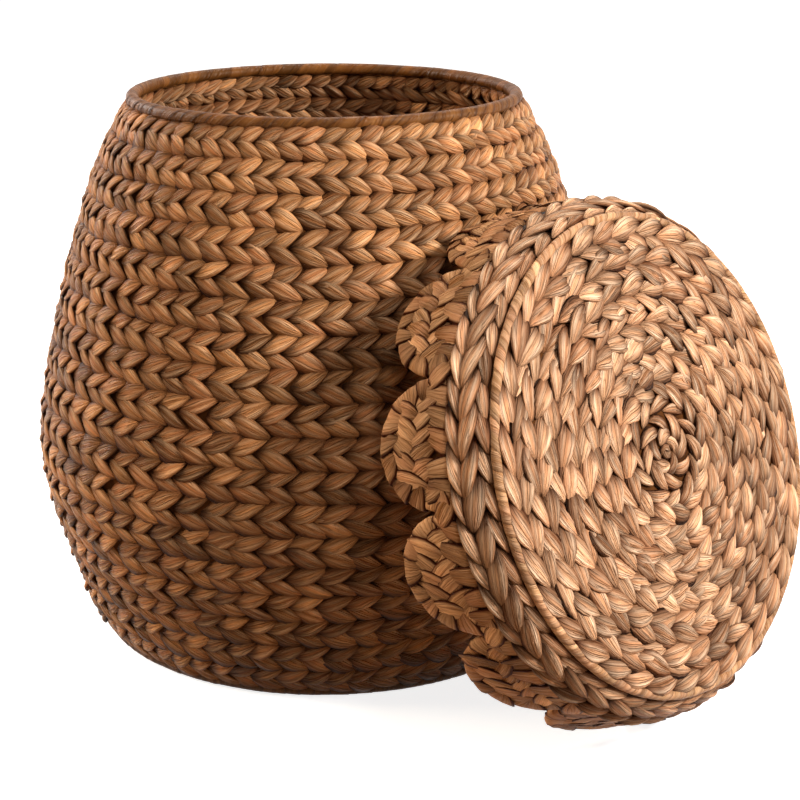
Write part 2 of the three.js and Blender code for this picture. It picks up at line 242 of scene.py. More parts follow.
# Stitches of one row, in row coordinates: s along the row, t up the wall, h out.
# A stitch leans from -reach to +reach over its length, t = reach (2u - 1 - bow sin 2 pi u),
# h = level - tuck (1 - u)^2.2 - duck u^5, and its crisp flank lies on the next stitch
def rowStitches(starts, pitch, lean, look, random):
    count = len(starts)
    vary = lambda spread: random.uniform(-spread, spread, count) * look["uneven"]
    length = (pitch * look["length"] + look["longer"]) * (1 + vary(stitchSpread["length"]))
    reach = look["reach"] * (1 + vary(stitchSpread["reach"])) * lean
    wide = look["halfWidth"] * (1 + vary(stitchSpread["width"]))
    thick = look["halfThick"] * (1 + vary(stitchSpread["thickness"]))
    level = look["level"] + vary(stitchSpread["level"])
    u = stitchStations[None, :]
    s = starts[:, None] + (u - 0.5) * length[:, None]
    bend = 2 * u - 1 - look["bow"] * np.sin(2 * np.pi * u)
    t = reach[:, None] * bend + vary(stitchSpread["shift"])[:, None]
    h = level[:, None] - look["tuck"] * (1 - u) ** 2.2 - look["duck"] * u ** 5
    centre = np.stack([s, t, h], -1)
    slope = np.arctan2(2 * reach, length)
    turned = lean * (1 - look["upturn"]) + look["upturn"]
    roll = -turned * look["roll"] * (1 + vary(stitchSpread["roll"])) + vary(stitchSpread["tilt"])
    roll = (roll[:, None] + vary(look["twist"])[:, None] * (u - 0.5))[..., None]
    perp = np.stack([-np.sin(slope), np.cos(slope), 0 * slope], -1)[:, None, :]
    side, face = rolled(perp, np.array([0, 0, 1.0]), roll)
    full = fullness(u, look["skew"], look["blunt"])
    section = stitchSection if lean < 0 else mirrored(stitchSection)
    return sweep(centre, side, face, wide[:, None] * full, thick[:, None] * full ** 0.8, section)


# One turned row of stitches on a line, seen from outside (side 1) or inside (side -1).
# The row sways along the line by 0.9 sin(2a + g / 60) + 0.6 sin(5a - g / 40)
def turnedRow(line, gone, count, lean, look, side, drift, place, random):
    radius = np.interp(gone, line["gone"], line["r"])
    pitch = 2 * math.pi * radius / count
    starts = (np.arange(count) + random.uniform(-look["jitter"], look["jitter"], count) + drift) * pitch
    local = rowStitches(starts, pitch, lean, look, random)
    s, t, h = local[..., 0], local[..., 1], local[..., 2]
    azimuth = side * s / radius
    sway = 0.9 * np.sin(2 * azimuth + gone / 60) + 0.6 * np.sin(5 * azimuth - gone / 40)
    at = onLine(line, azimuth, gone + t + sway * look["wave"], side * h)
    mood = random.uniform(0, 1, (count, 3))
    way = -1 if lean > 0 else 1
    return leafPart(place(at), stitchStations, len(stitchSection), mood, stitchCrisp, way)


# The same row on both faces of a weave
def rowPair(line, gone, count, lean, look, drift, place, random):
    return [turnedRow(line, gone, count, lean, look, side, drift, place, random) for side in (1, -1)]


# Stitches round a row at a radius, each about stitch + widen radius long
def stitchCount(radius, look):
    return int(round(2 * math.pi * radius / (look["stitch"] + look["widen"] * radius)))


# A direction under the same turning as a place: place(d) - place(0)
def turnOnly(place, direction):
    return place(direction) - place(np.zeros(3))


windingStations = np.linspace(0, 1, 15)

# How far single wraps differ: slant and tilt as shares, and height over the tube in mm
windingSpread = {"slant": 0.5, "tilt": 0.8, "lift": (-0.15, 0.1)}


# A wrapped hoop: flat leaves wound round a turned tube, each lapping the one before.
# A wrap's middle goes round the tube at angle f while it moves on by slant f / 2 pi
def woundHoop(ringRadius, ringHeight, look, place, random):
    count = int(round(2 * math.pi * ringRadius / look["pitch"]))
    share = random.uniform(1 - look["uneven"], 1 + look["uneven"], count)
    share *= 2 * math.pi * ringRadius / share.sum()
    base = (np.cumsum(share) - share / 2)[:, None]
    u = windingStations[None, :]
    vary = lambda spread, *more: random.uniform(-spread, spread, (count, *more))
    turn = 2 * math.pi * u * look["turns"] + look["begin"]
    s = base + look["slant"] * (1 + vary(windingSpread["slant"], 1)) * (u - 0.5)
    lift = look["tube"] - look["halfThick"] + random.uniform(*windingSpread["lift"], (count, 1)) + 0 * u
    azimuth = s / ringRadius
    out = np.stack([np.cos(turn) + 0 * s, np.sin(turn) + 0 * s], -1)
    centre = around(azimuth, ringRadius + lift * out[..., 0], ringHeight + lift * out[..., 1])
    along = around(azimuth + math.pi / 2, 1 + 0 * s, 0 * s)
    outward = around(azimuth, out[..., 0], out[..., 1])
    tilt = look["tilt"] * (1 + vary(windingSpread["tilt"], 1, 1))
    side, face = rolled(along, outward, tilt)
    wide = share[:, None] * look["lap"] / 2 + 0 * u
    thick = look["halfThick"] + 0 * s
    points = sweep(place(centre), turnOnly(place, side), turnOnly(place, face), wide, thick,
                   ribbonSection)
    return ribbonPart(points, windingStations, random.uniform(0, 1, (count, 3)))


def link(tree, a, b):
    tree.links.new(a, b)


# A math node on sockets or numbers
def reckon(tree, operation, *values):
    node = tree.nodes.new("ShaderNodeMath")
    node.operation = operation
    for i, value in enumerate(values):
        if isinstance(value, (int, float)):
            node.inputs[i].default_value = value
        else:
            link(tree, value, node.inputs[i])
    return node.outputs[0]


# Two colours mixed by a share, or multiplied with it
def mixed(tree, blend, share, a, b):
    node = tree.nodes.new("ShaderNodeMix")
    node.data_type = "RGBA"
    node.blend_type = blend
    for socket, value in ((node.inputs[0], share), (node.inputs[6], a), (node.inputs[7], b)):
        if isinstance(value, (int, float, tuple)):
            socket.default_value = value
        else:
            link(tree, value, socket)
    return node.outputs[2]


# Noise at a place, with its scale, detail and roughness
def noise(tree, place, scale, detail, rough):
    node = tree.nodes.new("ShaderNodeTexNoise")
    node.inputs["Scale"].default_value = scale
    node.inputs["Detail"].default_value = detail
    node.inputs["Roughness"].default_value = rough
    link(tree, place, node.inputs["Vector"])
    return node.outputs["Fac"]


# A value moved from one range to another and kept inside it
def ranged(tree, value, low, high, a, b):
    node = tree.nodes.new("ShaderNodeMapRange")
    node.inputs["From Min"].default_value = low
    node.inputs["From Max"].default_value = high
    node.inputs["To Min"].default_value = a
    node.inputs["To Max"].default_value = b
    link(tree, value, node.inputs["Value"])
    return node.outputs["Result"]


# The three numbers of a vector
def split(tree, vector):
    node = tree.nodes.new("ShaderNodeSeparateXYZ")
    link(tree, vector, node.inputs[0])
    return node.outputs[0], node.outputs[1], node.outputs[2]


# What each leaf material gives the fibre effect: colours, and shares or counts
leafColours = ("Light", "Dark", "Rosy", "PaintedSheen")
leafShares = ("PaintedShine", "Pleats", "Fibres", "Stretch", "Groove", "EndShade", "FlankShade", "OutlineShade")

# Where the marks of a leaf lie along U and V, and how strong they are. Corner k of a
# section lies at V = k / 8, so the inner flank is corner 5 and the ridge is corner 2
# The tucked, tip, flank and seam marks place painted shade, and the ridge marks a painted highlight
leafMarks = {
    "pleatPower": 0.7, "pleatWarp": 4.2, "tone": (0.34, 0.68), "rosy": (0.6, 0.85), "rosyMost": 0.75,
    "tucked": (0.08, 0.52), "tip": (0.9, 1.0), "tipMost": 0.75, "flankPower": 1.5,
    "inner": 0.625, "innerWidth": 0.27, "outerWidth": 0.17, "seam": 0.0625,
    "ridge": 0.24, "ridgeWidth": 0.11, "second": 0.46, "secondWidth": 0.07, "secondMost": 0.6,
    "shadeDark": (0.24, 0.12, 0.045, 1), "broadShade": (0.78, 1.12), "leafShade": (0.68, 1.26),
}


# Shared effect: a dried leaf with fibres and pleats that run along U. A pleat's height is
# |sin(pi (count V + warp))|^0.7. Shade is painted into its grooves, tucked ends, tips, flanks
# and outline, and a highlight along its ridges
def leafFibreGroup(marks):
    tree = bpy.data.node_groups.new("leafFibre", "ShaderNodeTree")
    for name, way, kind in (
            *((name, "INPUT", "NodeSocketVector") for name in ("UV", "Mood", "Place")),
            *((name, "INPUT", "NodeSocketColor") for name in leafColours),
            *((name, "INPUT", "NodeSocketFloat") for name in leafShares),
            ("Color", "OUTPUT", "NodeSocketColor"), ("Height", "OUTPUT", "NodeSocketFloat"),
            ("Roughness", "OUTPUT", "NodeSocketFloat")):
        tree.interface.new_socket(name=name, in_out=way, socket_type=kind)
    given = tree.nodes.new("NodeGroupInput").outputs
    result = tree.nodes.new("NodeGroupOutput").inputs
    u, v = split(tree, given["UV"])[:2]
    m1, m2, m3 = split(tree, given["Mood"])
    plus = lambda a, b: reckon(tree, "ADD", a, b)
    minus = lambda a, b: reckon(tree, "SUBTRACT", a, b)
    times = lambda a, b: reckon(tree, "MULTIPLY", a, b)
    most = lambda a, b: reckon(tree, "MAXIMUM", a, b)

    # Places for noise that is drawn out along the leaf, other on each leaf and lane
    def streaks(alongScale, acrossScale, lane):
        join = tree.nodes.new("ShaderNodeCombineXYZ")
        link(tree, reckon(tree, "MULTIPLY_ADD", m1, 37.0, times(u, alongScale)), join.inputs[0])
        link(tree, reckon(tree, "MULTIPLY_ADD", m2, 71.0, times(v, acrossScale)), join.inputs[1])
        link(tree, reckon(tree, "MULTIPLY_ADD", m3, 19.0, lane), join.inputs[2])
        return join.outputs[0]

    # A stripe along the leaf at a V, as strong as most in its middle and 0 a width away
    def stripe(place, width, strength):
        away = reckon(tree, "ABSOLUTE", minus(v, place))
        return ranged(tree, away, 0.0, width, strength, 0.0)

    stretch = given["Stretch"]
    fine = noise(tree, streaks(stretch, given["Fibres"], 0.0), 1.0, 3.0, 0.75)
    broad = noise(tree, streaks(times(stretch, 0.6), 9.0, 5.0), 1.0, 2.0, 0.5)
    deep = noise(tree, streaks(stretch, 7.0, 11.0), 1.0, 1.0, 0.5)

    phase = plus(plus(times(v, given["Pleats"]), times(broad, marks["pleatWarp"])), m3)
    wave = reckon(tree, "ABSOLUTE", reckon(tree, "SINE", times(phase, math.pi)))
    pleat = reckon(tree, "POWER", wave, marks["pleatPower"])
    # Painted shade in the pleats' grooves; the same grooves also lower the bump height
    groove = ranged(tree, pleat, 0.0, 0.6, 1.0, 0.0)
    groove = times(groove, ranged(tree, deep, 0.32, 0.56, 0.1, 1.0))
    groove = times(groove, given["Groove"])

    tone = plus(times(fine, 0.8), times(m1, 0.24))
    tone = ranged(tree, tone, *marks["tone"], 0.0, 1.0)
    color = mixed(tree, "MIX", tone, given["Dark"], given["Light"])
    rosy = plus(noise(tree, given["Place"], 55.0, 2.0, 0.5), times(m2, 0.35))
    rosy = ranged(tree, rosy, *marks["rosy"], 0.0, marks["rosyMost"])
    color = mixed(tree, "MIX", rosy, color, given["Rosy"])

    # Painted shade where the leaf tucks under the one before, at its tip, on its flanks and along the
    # outline where leaves overlap
    start = ranged(tree, u, *marks["tucked"], 1.0, 0.0)
    tip = ranged(tree, u, *marks["tip"], 0.0, marks["tipMost"])
    ends = times(most(start, tip), given["EndShade"])
    inner = stripe(marks["inner"], marks["innerWidth"], 1.0)
    outer = ranged(tree, reckon(tree, "PINGPONG", v, 0.5), 0.0, marks["outerWidth"], 1.0, 0.0)
    flanks = times(reckon(tree, "POWER", most(inner, outer), marks["flankPower"]), given["FlankShade"])
    rib = reckon(tree, "PINGPONG", minus(v, marks["seam"]), 0.25)
    outline = ranged(tree, rib, marks["seam"], 2 * marks["seam"], 1.0, 0.0)
    outline = times(outline, given["OutlineShade"])

    # A painted highlight along the ridges, strongest mid-leaf, mixed in the sheen colour
    ridge = stripe(marks["ridge"], marks["ridgeWidth"], 1.0)
    second = stripe(marks["second"], marks["secondWidth"], marks["secondMost"])
    middle = ranged(tree, reckon(tree, "PINGPONG", u, 0.5), 0.1, 0.34, 0.0, 1.0)
    lit = times(most(ridge, second), middle)
    lit = times(lit, ranged(tree, fine, 0.38, 0.62, 0.35, 1.0))
    color = mixed(tree, "MIX", times(lit, given["PaintedShine"]), color, given["PaintedSheen"])

    # The painted shade darkens the colour towards a deeper tone of Dark
    paintedShade = most(most(most(groove, ends), flanks), outline)
    shadeDark = mixed(tree, "MULTIPLY", 1.0, given["Dark"], marks["shadeDark"])
    color = mixed(tree, "MIX", paintedShade, color, shadeDark)
    shade = times(ranged(tree, broad, 0.3, 0.7, *marks["broadShade"]),
                  ranged(tree, m3, 0.0, 1.0, *marks["leafShade"]))
    shadeColor = tree.nodes.new("ShaderNodeCombineColor")
    for i in range(3):
        link(tree, shade, shadeColor.inputs[i])
    link(tree, mixed(tree, "MULTIPLY", 1.0, color, shadeColor.outputs[0]), result["Color"])

    height = plus(plus(times(fine, 0.35), times(pleat, 0.6)), times(broad, 0.9))
    link(tree, minus(height, times(groove, 0.35)), result["Height"])
    link(tree, ranged(tree, fine, 0.3, 0.7, 0.55, 0.34), result["Roughness"])
    return tree


leafFibre = leafFibreGroup(leafMarks)
fibreDepth = 0.0014


# A leaf material: the fibre effect with its own colours, feeding one Principled shader
def leafMaterial(name, look):
    material = bpy.data.materials.new(name)
    material.use_nodes = True
    tree = material.node_tree
    shader = tree.nodes["Principled BSDF"]
    uv = tree.nodes.new("ShaderNodeUVMap")
    uv.uv_map = "leaf"
    mood = tree.nodes.new("ShaderNodeAttribute")
    mood.attribute_name = "mood"
    place = tree.nodes.new("ShaderNodeTexCoord")
    group = tree.nodes.new("ShaderNodeGroup")
    group.node_tree = leafFibre
    link(tree, uv.outputs[0], group.inputs["UV"])
    link(tree, mood.outputs["Vector"], group.inputs["Mood"])
    link(tree, place.outputs["Object"], group.inputs["Place"])
    for key in leafColours + leafShares:
        group.inputs[key].default_value = look[key]
    bump = tree.nodes.new("ShaderNodeBump")
    bump.inputs["Strength"].default_value = look["bump"]
    bump.inputs["Distance"].default_value = fibreDepth
    link(tree, group.outputs["Height"], bump.inputs["Height"])
    link(tree, group.outputs["Color"], shader.inputs["Base Color"])
    link(tree, group.outputs["Roughness"], shader.inputs["Roughness"])
    link(tree, bump.outputs["Normal"], shader.inputs["Normal"])
    shader.inputs["Specular IOR Level"].default_value = look["specular"]
    shader.inputs["Specular Tint"].default_value = look["tint"]
    return material


# A material of two colours mixed by noise at the object's own places
def speckled(name, look):
    material = bpy.data.materials.new(name)
    material.use_nodes = True
    tree = material.node_tree
    shader = tree.nodes["Principled BSDF"]
    place = tree.nodes.new("ShaderNodeTexCoord")
    grain = noise(tree, place.outputs["Object"], look["scale"], 3.0, 0.6)
    share = ranged(tree, grain, 0.35, 0.65, 0.0, 1.0)
    link(tree, mixed(tree, "MIX", share, look["one"], look["other"]), shader.inputs["Base Color"])
    shader.inputs["Specular IOR Level"].default_value = look["specular"]
    link(tree, ranged(tree, grain, 0.3, 0.7, look["rough"] - 0.1, look["rough"] + 0.1),
         shader.inputs["Roughness"])
    return material


# Stitches have pleats and painted shade on their flanks, and a winding is plainer with a painted shade
# outline
stitchLeaf = {"Pleats": 9.0, "Fibres": 60.0, "FlankShade": 1.0, "OutlineShade": 0.0}
windingLeaf = {"PaintedShine": 0.3, "Pleats": 6.0, "Fibres": 60.0, "EndShade": 0.0, "FlankShade": 0.0,
               "OutlineShade": 0.4, "bump": 0.5}
# In each leaf below, a highlight is painted in the sheen colour, and shade is painted at the ends,
# flanks, outline and grooves
wallLeaf = leafMaterial("wallLeaf", {
    **stitchLeaf, "Light": (0.76, 0.335, 0.122, 1), "Dark": (0.1, 0.024, 0.003, 1),
    "Rosy": (0.5, 0.19, 0.07, 1), "PaintedSheen": (1.0, 0.68, 0.4, 1), "PaintedShine": 0.55, "Fibres": 64.0,
    "Stretch": 1.5, "Groove": 0.35, "EndShade": 0.95, "bump": 1.0, "specular": 0.08,
    "tint": (1, 0.82, 0.65, 1)})
lidLeaf = leafMaterial("lidLeaf", {
    **stitchLeaf, "Light": (0.88, 0.475, 0.25, 1), "Dark": (0.16, 0.044, 0.006, 1),
    "Rosy": (0.66, 0.3, 0.14, 1), "PaintedSheen": (1.0, 0.77, 0.54, 1), "PaintedShine": 0.62,
    "Stretch": 1.6, "Groove": 0.42, "EndShade": 1.0, "bump": 1.1, "specular": 0.06,
    "tint": (1, 0.86, 0.72, 1)})
panelLeaf = leafMaterial("panelLeaf", {
    **windingLeaf, "Light": (0.8, 0.425, 0.2, 1), "Dark": (0.2, 0.064, 0.012, 1),
    "Rosy": (0.56, 0.25, 0.115, 1), "PaintedSheen": (0.98, 0.6, 0.32, 1), "Pleats": 4.0,
    "Stretch": 1.2, "Groove": 0.2, "EndShade": 0.5, "OutlineShade": 1.0, "bump": 1.0, "specular": 0.03,
    "tint": (1, 0.82, 0.65, 1)})
wrapLeaf = leafMaterial("wrapLeaf", {
    **windingLeaf, "Light": (0.15, 0.05, 0.009, 1), "Dark": (0.08, 0.025, 0.004, 1),
    "Rosy": (0.12, 0.038, 0.007, 1), "PaintedSheen": (0.36, 0.16, 0.045, 1), "Stretch": 0.9,
    "Groove": 0.2, "specular": 0.15, "tint": (1, 0.8, 0.6, 1)})
pipingLeaf = leafMaterial("pipingLeaf", {
    **windingLeaf, "Light": (0.62, 0.34, 0.16, 1), "Dark": (0.22, 0.08, 0.022, 1),
    "Rosy": (0.5, 0.23, 0.11, 1), "PaintedSheen": (0.85, 0.56, 0.36, 1), "Stretch": 1.0,
    "Groove": 0.25, "specular": 0.12, "tint": (1, 0.85, 0.7, 1)})
# The hearts of the weaves are near black: painted shade that shows through the gaps between stitches
shadeHeart = speckled("shadeHeart", {"one": (0.045, 0.014, 0.003, 1), "other": (0.09, 0.03, 0.007, 1),
                           "scale": 90.0, "rough": 0.85, "specular": 0.05})
darkWire = speckled("darkWire", {"one": (0.03, 0.014, 0.007, 1), "other": (0.06, 0.03, 0.014, 1),
                                 "scale": 60.0, "rough": 0.6, "specular": 0.2})
for name in ("wall_frame", "lid_frame"):
    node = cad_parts[name]
    node.data.materials.clear()
    node.data.materials.append(darkWire)
print("leaf and wire materials made")


# The pot's outline runs through the middle of its weave. Its rows start and end a little
# inside the wrapped hoops
pot = {
    "baseRadius": 190, "footHeight": 44, "footRadius": 208, "bellyHeight": 165,
    "bellyRadius": 234, "shoulderHeight": 342, "shoulderRadius": 193,
    "mouthHeight": 430, "mouthRadius": 153, "weaveHalf": 6.05, "floorMiddle": 6.05,
    "rimWrapRadius": 4.5, "baseWrapRadius": 5, "rimTuck": 0.3, "baseTuck": 1.5,
}
# Two rows of stitches stand for each course. Their leaves turn up towards the foot
wall = {
    "courses": 18, "stitches": 68, "length": 1.2, "longer": 8.5, "halfWidth": 7.6, "halfThick": 2.3,
    "level": 3.2, "reach": 5.9, "bow": 0.12, "tuck": 3.0, "duck": 1.9, "skew": 1.0, "blunt": 0.72,
    "roll": 0.12, "lowRoll": 0.14, "twist": 0.3, "uneven": 1.15, "jitter": 0.1, "drift": 0.09,
    "wave": 1, "upturn": 0, "footUpturn": 1.15, "upturnRows": 18,
    "heartInset": 2, "heartSteps": 40, "heartHalf": 1.6, "heartSegments": 96,
}


# The pot stands where it was drawn
def stay(points):
    return points


potLine = smoothLine([
    (pot["baseRadius"] - pot["weaveHalf"], pot["floorMiddle"]),
    (pot["footRadius"] - pot["weaveHalf"], pot["footHeight"]),
    (pot["bellyRadius"] - pot["weaveHalf"], pot["bellyHeight"]),
    (pot["shoulderRadius"] - pot["weaveHalf"], pot["shoulderHeight"]),
    (pot["mouthRadius"] - pot["rimWrapRadius"], pot["mouthHeight"] - pot["rimWrapRadius"]),
], steps=200)
potLength = potLine["gone"][-1]
firstRow = pot["baseWrapRadius"] - pot["baseTuck"]
lastRow = potLength - pot["rimWrapRadius"] + pot["rimTuck"]
rowPitch = (lastRow - firstRow) / (2 * wall["courses"])
drift = 0.0
driftDraws = draws("wallDrift")
for course in range(wall["courses"]):
    random = draws("wall", course)
    parts = []
    for row in (2 * course, 2 * course + 1):
        gone = firstRow + (row + 0.5) * rowPitch
        lean = 1 if row % 2 else -1
        upturn = min(max(wall["footUpturn"] - row / wall["upturnRows"], 0), 1)
        look = dict(wall, upturn=upturn, roll=wall["roll"] + wall["lowRoll"] * upturn)
        drift += driftDraws.uniform(-wall["drift"], wall["drift"])
        parts += rowPair(potLine, gone, wall["stitches"], lean, look, drift, stay, random)
    piece(f"weave_{course + 1:02d}", parts, wallLeaf, "basket",
          [f"wall_course_{course + 1:02d}"])
heartSteps = np.linspace(wall["heartInset"], potLength - wall["heartInset"], wall["heartSteps"])
piece("wall_shade_heart", [heartPart(potLine, heartSteps, wall["heartHalf"], wall["heartSegments"], stay)],
      shadeHeart, "basket", [])
print("wall woven")

rimWinding = {
    "tube": 5.0, "pitch": 13.0, "begin": -math.pi * 0.75, "turns": 1.06, "slant": 26.0,
    "halfThick": 0.2, "tilt": 0.012, "lap": 1.6, "uneven": 0.35,
}
footWinding = dict(rimWinding, pitch=8.5, begin=math.pi * 0.5, slant=5.0, halfThick=0.22,
                   tilt=0.024, lap=1.7)
rim = woundHoop(potLine["r"][-1], potLine["z"][-1], rimWinding, stay, draws("rim"))
piece("rim_wound", [rim], wrapLeaf, "basket", ["rim_wrap"])
foot = woundHoop(potLine["r"][0], potLine["z"][0], footWinding, stay, draws("foot"))
piece("base_wound", [foot], wrapLeaf, "basket", ["base_hoop_wrap"])
print("rim and base wound")

floorWeave = dict(
    wall, radius=181.5, rows=14, fewest=4, stitch=15, widen=0.05, halfThick=2.2, level=3.4,
    reach=6.0, roll=0.2, wave=0, heartInset=1, heartHalf=0.5, heartSegments=64)
floorRadius = floorWeave["radius"]
acrossFloor = np.linspace(floorRadius, 0, 300)
floorLine = measured(np.stack([acrossFloor, 0 * acrossFloor + pot["floorMiddle"]], -1))
for side, name, node in (
        (1, "floor_weave_top", "base_floor_top"), (-1, "floor_weave_under", "base_floor_under")):
    random = draws("floor", side)
    parts = []
    for row in range(floorWeave["rows"]):
        gone = (row + 0.5) * floorRadius / floorWeave["rows"]
        count = max(stitchCount(floorRadius - gone, floorWeave), floorWeave["fewest"])
        lean = 1 if row % 2 else -1
        drift = random.uniform(0, 1)
        parts.append(turnedRow(floorLine, gone, count, lean, floorWeave, side, drift, stay, random))
    piece(name, parts, wallLeaf, "basket", [node])
heartSteps = np.array([0.0, floorRadius - floorWeave["heartInset"]])
piece("floor_shade_heart", [heartPart(
    floorLine, heartSteps, floorWeave["heartHalf"], floorWeave["heartSegments"], stay)],
    shadeHeart, "basket", [])
print("floor woven")


# The lid's corner hoop lies at height 0 of its own coordinates, with its top facing up
lid = {
    "cornerRadius": 168, "crown": 4, "bandDrop": 24, "bandFlare": 15,
    "centreRadius": 40, "courses": 5, "rows": 12, "start": 3.8, "turn": 48.5, "rise": 19.5,
    "place": (243.327, -215.277, 206.443),
    "heartStart": 1, "heartEnd": 0.5, "heartSteps": 30, "heartHalf": 1.7, "heartSegments": 96,
}


# Lid coordinates to the basket's: turned about X by 90 deg - rise, about Z, then moved
def fromLid(points):
    tilt = math.pi / 2 - math.radians(lid["rise"])
    spin = math.radians(lid["turn"])
    x, y, z = points[..., 0], points[..., 1], points[..., 2]
    back = y * math.cos(tilt) - z * math.sin(tilt)
    up = y * math.sin(tilt) + z * math.cos(tilt)
    return np.stack([
        x * math.cos(spin) - back * math.sin(spin) + lid["place"][0],
        x * math.sin(spin) + back * math.cos(spin) + lid["place"][1],
        up + lid["place"][2]], -1)


# The top's height is crown (1 - (r / cornerRadius)^2)
topRadius = np.linspace(lid["cornerRadius"], 0, 400)
topHeight = lid["crown"] * (1 - (topRadius / lid["cornerRadius"]) ** 2)
topLine = measured(np.stack([topRadius, topHeight], -1))
topLook = dict(
    wall, stitch=17, widen=0.055, length=1.2, longer=8.5, halfWidth=9.2, halfThick=2.1, level=3.3,
    reach=4.3, roll=0.09, tuck=2.6, duck=1.4, skew=0.88, blunt=0.82, uneven=1.4, wave=0)
centreEdge = np.interp(-lid["centreRadius"], -topLine["r"], topLine["gone"])
topPitch = (centreEdge - lid["start"]) / lid["rows"]
for course in range(lid["courses"]):
    random = draws("lidTop", course)
    parts = []
    for row in range(lid["rows"]):
        if row * lid["courses"] // lid["rows"] != course:
            continue
        gone = lid["start"] + (row + 0.5) * topPitch
        count = stitchCount(np.interp(gone, topLine["gone"], topLine["r"]), topLook)
        lean = -1 if row % 2 else 1
        drift = random.uniform(0, 1)
        parts += rowPair(topLine, gone, count, lean, topLook, drift, fromLid, random)
    piece(f"lid_weave_{course + 1}", parts, lidLeaf, "lid",
          [f"lid_top_course_{course + 1}"])

# Rows of the middle rosette from outside in: radius, stitches, half width, reach and length
middleRows = ((33, 12, 5.4, 5.2, 1.5), (21.5, 8, 5.4, 5.2, 1.5), (11, 5, 5.4, 3.5, 1.5),
              (2.5, 2, 3.5, 3.5, 2.0))
random = draws("lidMiddle")
middle = {1: [], -1: []}
for row, (radius, count, halfWidth, reach, length) in enumerate(middleRows):
    look = dict(topLook, halfWidth=halfWidth, reach=reach, length=length, longer=0)
    gone = np.interp(-radius, -topLine["r"], topLine["gone"])
    lean = -1 if row % 2 else 1
    for side in (1, -1):
        drift = random.uniform(0, 1)
        middle[side].append(turnedRow(topLine, gone, count, lean, look, side, drift, fromLid, random))
piece("lid_middle_top", middle[1], lidLeaf, "lid", ["lid_centre_top"])
piece("lid_middle_under", middle[-1], lidLeaf, "lid", ["lid_centre_under"])

# The band's line goes a little past its foot and its top, so that rows can lean over them
band = {"past": (-0.09, 1.06), "from": 0.2, "to": 5.0, "shadeHeart": (0.5, 1), "heartHalf": 0.5}
bandTop = np.array([lid["cornerRadius"], 0.0])
bandFoot = np.array([lid["cornerRadius"] + lid["bandFlare"], -float(lid["bandDrop"])])
bandLine = measured(bandFoot + np.linspace(*band["past"], 50)[:, None] * (bandTop - bandFoot))
bandSides = dict(wall, stitches=50, length=1.2, longer=9.0, halfWidth=5.5, halfThick=2.6, level=2.7,
                 reach=3.4, roll=0.28, uneven=1.3, wave=0)
bandMiddle = dict(bandSides, stitches=46, longer=13.0, halfWidth=7.3, halfThick=3.0, level=3.7,
                  reach=4.4, blunt=0.65)
bandRows = (bandSides, bandMiddle, bandSides)
bandLength = bandLine["gone"][-1]
bandPitch = (bandLength - band["from"] - band["to"]) / len(bandRows)
random = draws("lidBand")
parts = []
for row, look in enumerate(bandRows):
    gone = band["from"] + (row + 0.5) * bandPitch
    lean = -1 if row % 2 else 1
    drift = random.uniform(0, 1)
    parts += rowPair(bandLine, gone, look["stitches"], lean, look, drift, fromLid, random)
piece("lid_band_weave", parts, lidLeaf, "lid", ["lid_band_course"])

pipingWinding = dict(footWinding, height=0.9, tube=3.4, pitch=7.0, begin=math.pi * 1.1, slant=14.0,
                     tilt=0.022, lap=1.6, uneven=0.3)
piping = woundHoop(lid["cornerRadius"], pipingWinding["height"], pipingWinding, fromLid, draws("piping"))
piece("lid_piping", [piping], pipingLeaf, "lid", ["lid_corner_wrap"])

heartSteps = np.linspace(lid["heartStart"], topLine["gone"][-1] - lid["heartEnd"], lid["heartSteps"])
lidHeart = heartPart(topLine, heartSteps, lid["heartHalf"], lid["heartSegments"], fromLid)
heartSteps = np.array([band["shadeHeart"][0], bandLength - band["shadeHeart"][1]])
bandHeart = heartPart(bandLine, heartSteps, band["heartHalf"], lid["heartSegments"], fromLid)
piece("lid_shade_heart", [lidHeart, bandHeart], shadeHeart, "lid", [])
print("lid woven")


# A scallop hangs from the lower hoop, straight at first and then round a half circle
scallops = {
    "count": 13, "depth": 58, "flare": 5.8, "edgeRadius": 2.5, "turn": 3.6, "start": 2.85,
    "gap": 0.35, "folds": 9, "foldShare": (0.65, 1.35), "foldDeep": (11, 16), "foldLap": 0.6,
    "tops": 5, "topDeep": (13, 18), "topHalfWidth": (7.9, 8.8), "topDrop": 1.2, "topInset": 3,
    "topAside": 0.12,
}
skirtRadius = lid["cornerRadius"] + lid["bandFlare"]
loopRadius = (math.pi * skirtRadius / scallops["count"] - scallops["edgeRadius"]
              - scallops["gap"] / 2)
shoulder = scallops["depth"] - scallops["edgeRadius"] - loopRadius
straight = shoulder - scallops["start"]
loopLength = 2 * straight + math.pi * loopRadius


# The place of scallop i on the skirt: x sideways from its middle, t up from the lower
# hoop, h out
def onSkirt(i):
    azimuth = 2 * math.pi * i / scallops["count"] + math.radians(scallops["turn"])
    flare = math.radians(scallops["flare"])

    def place(points):
        x, t, h = points[..., 0], points[..., 1], points[..., 2]
        radius = skirtRadius - t * math.sin(flare) + h * math.cos(flare)
        height = -lid["bandDrop"] + t * math.cos(flare) + h * math.sin(flare)
        return fromLid(around(azimuth + x / skirtRadius, radius, height))
    return place


# A point and inward heading of a scallop's loop at a distance along it
def onLoop(gone):
    angle = np.clip((gone - straight) / loopRadius, 0, math.pi)
    x = -loopRadius * np.cos(angle)
    t = -shoulder - loopRadius * np.sin(angle)
    t = np.where(gone < straight, -scallops["start"] - gone, t)
    t = np.where(gone > loopLength - straight, -scallops["start"] - (loopLength - gone), t)
    inward = np.stack([np.cos(angle), np.sin(angle)], -1)
    return np.stack([x, t], -1), inward


